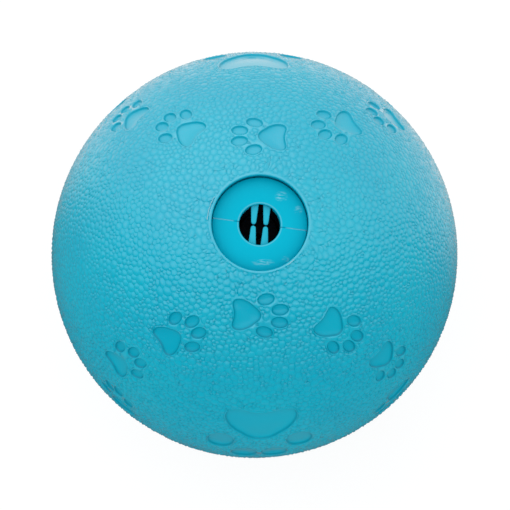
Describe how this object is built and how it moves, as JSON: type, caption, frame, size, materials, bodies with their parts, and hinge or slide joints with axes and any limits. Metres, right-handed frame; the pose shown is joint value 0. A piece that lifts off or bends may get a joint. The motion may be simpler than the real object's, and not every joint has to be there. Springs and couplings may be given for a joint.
{
  "type": "squeaky rubber dog ball",
  "caption": "Hollow rubber dog ball engraved with paw prints, with a snap-in plastic squeaker housing whose round mouth is guarded by flexible tongues.",
  "frame": {"origin": "the ball's centre", "axes": "+Z out of the mouth along the housing's axis, +Y towards the large print above the mouth in the picture, +X to the picture's right"},
  "size_m": [0.09, 0.09, 0.0889],
  "materials": {
    "ball_rubber": "satin moulded rubber with a fine pebble grain, smooth in the prints",
    "housing_plastic": "satin injection-moulded plastic",
    "squeaker_plastic": "satin dark plastic",
    "reed_film": "glossy thin film"
  },
  "bodies": {
    "ball": {"ball_shell": "ball_rubber", "housing_upper_half": "housing_plastic", "housing_lower_half": "housing_plastic", "squeaker_case": "squeaker_plastic", "reed_block": "squeaker_plastic", "reed_clamp": "squeaker_plastic"},
    "upper_left_tongue": {"upper_left_tongue": "housing_plastic"},
    "upper_right_tongue": {"upper_right_tongue": "housing_plastic"},
    "lower_left_tongue": {"lower_left_tongue": "housing_plastic"},
    "lower_right_tongue": {"lower_right_tongue": "housing_plastic"},
    "reed": {"reed": "reed_film"}
  },
  "joints": [
    {"name": "upper_left_tongue_bend", "type": "hinge", "parent": "ball", "child": "upper_left_tongue", "pos_m": [-0.00091, 0.00412, 0.04052], "axis": [0.9976, -0.0698, 0], "range_deg": [-15, 45], "stiffness_Nm_per_rad": 0.05},
    {"name": "upper_right_tongue_bend", "type": "hinge", "parent": "ball", "child": "upper_right_tongue", "pos_m": [0.00148, 0.00396, 0.04052], "axis": [0.9976, -0.0698, 0], "range_deg": [-15, 45], "stiffness_Nm_per_rad": 0.05},
    {"name": "lower_left_tongue_bend", "type": "hinge", "parent": "ball", "child": "lower_left_tongue", "pos_m": [-0.00148, -0.00396, 0.04052], "axis": [-0.9976, 0.0698, 0], "range_deg": [-15, 45], "stiffness_Nm_per_rad": 0.05},
    {"name": "lower_right_tongue_bend", "type": "hinge", "parent": "ball", "child": "lower_right_tongue", "pos_m": [0.00091, -0.00412, 0.04052], "axis": [-0.9976, 0.0698, 0], "range_deg": [-15, 45], "stiffness_Nm_per_rad": 0.05},
    {"name": "reed_flutter", "type": "hinge", "parent": "ball", "child": "reed", "pos_m": [0.00006, 0.00045, 0.02462], "axis": [0.9914, -0.1305, 0], "range_deg": [-2, 6], "stiffness_Nm_per_rad": 0.005}
  ]
}
